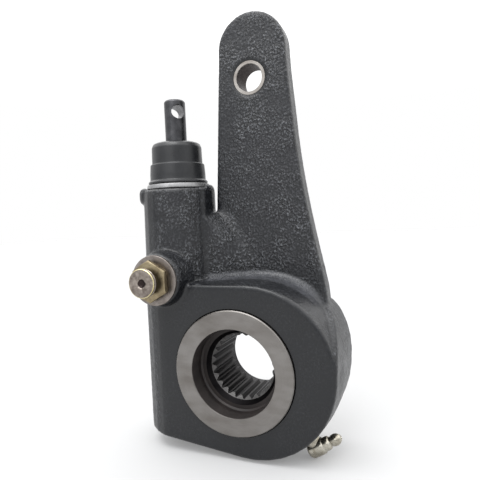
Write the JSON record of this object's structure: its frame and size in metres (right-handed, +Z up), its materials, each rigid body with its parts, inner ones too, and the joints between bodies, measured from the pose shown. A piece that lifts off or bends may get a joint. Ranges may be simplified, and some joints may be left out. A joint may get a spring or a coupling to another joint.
{
  "type": "brake slack adjuster",
  "caption": "Automatic slack adjuster for an air drum brake: cast lever with a serrated wheel, worm, pull pawl, booted actuator rod and bushed clevis hole.",
  "frame": {"origin": "on the axis of the camshaft bore, in the worm's plane", "axes": "+Z up along the worm, the way the arm points; +Y along the camshaft bore, away from the pull button; +X from the worm to the body's round side"},
  "size_m": [0.1216, 0.0693, 0.2518],
  "materials": {
    "painted_iron": "black paint on cast iron, satin",
    "bush_steel": "ground end face",
    "wheel_steel": "turned steel",
    "worm_steel": "hardened steel, oiled",
    "rod_steel": "dark satin steel",
    "washer_steel": "zinc plate, dull",
    "cover_steel": "zinc plate",
    "ring_steel": "spring steel",
    "boot_ring_steel": "zinc plate, pale",
    "fitting_plate": "bright nickel plate",
    "yellow_zinc": "yellow zinc plate",
    "button_steel": "worn zinc plate with a bright rim",
    "seal_rubber": "moulded rubber",
    "boot_rubber": "moulded rubber, satin"
  },
  "bodies": {
    "housing": {"housing": "painted_iron", "arm_bush": "bush_steel", "gear_seal_rear": "seal_rubber", "gear_thrust_washer": "washer_steel", "gear_cover": "cover_steel", "gear_retaining_ring": "ring_steel", "worm_thrust_washer": "washer_steel", "worm_seal": "seal_rubber", "worm_retaining_ring": "ring_steel", "boot": "boot_rubber", "boot_ring": "boot_ring_steel", "pawl_plug": "yellow_zinc", "pawl_washer": "washer_steel", "pawl_spring": "ring_steel", "grease_fitting": "fitting_plate"},
    "worm": {"worm": "worm_steel"},
    "wheel": {"worm_gear": "wheel_steel", "gear_seal_front": "seal_rubber"},
    "actuator": {"actuator": "worm_steel", "piston_retaining_ring": "ring_steel"},
    "plunger": {"actuator_piston": "wheel_steel", "piston_pin": "wheel_steel", "actuator_rod": "rod_steel"},
    "pawl": {"pawl": "rod_steel", "pull_button": "button_steel"}
  },
  "joints": [
    {"name": "worm_spin", "type": "hinge", "parent": "housing", "child": "worm", "pos_m": [-0.042, 0, 0], "axis": [0, 0, 1], "continuous": true},
    {"name": "wheel_turn", "type": "hinge", "parent": "housing", "child": "wheel", "pos_m": [0, 0, 0], "axis": [0, 1, 0], "continuous": true},
    {"name": "rod_slide", "type": "slide", "parent": "worm", "child": "actuator", "axis": [0, 0, 1], "range_m": [0, 0.018]},
    {"name": "rod_swivel", "type": "hinge", "parent": "actuator", "child": "plunger", "pos_m": [-0.042, 0, 0.066], "axis": [0, 0, 1], "continuous": true},
    {"name": "pawl_slide", "type": "slide", "parent": "housing", "child": "pawl", "axis": [0, -1, 0], "range_m": [-0.0013, 0.0012], "stiffness_N_per_m": 400, "deforming": ["pawl_spring"]}
  ],
  "couplings": [
    {"joint": "wheel_turn", "follows": "worm_spin", "ratio": -0.041667}
  ]
}
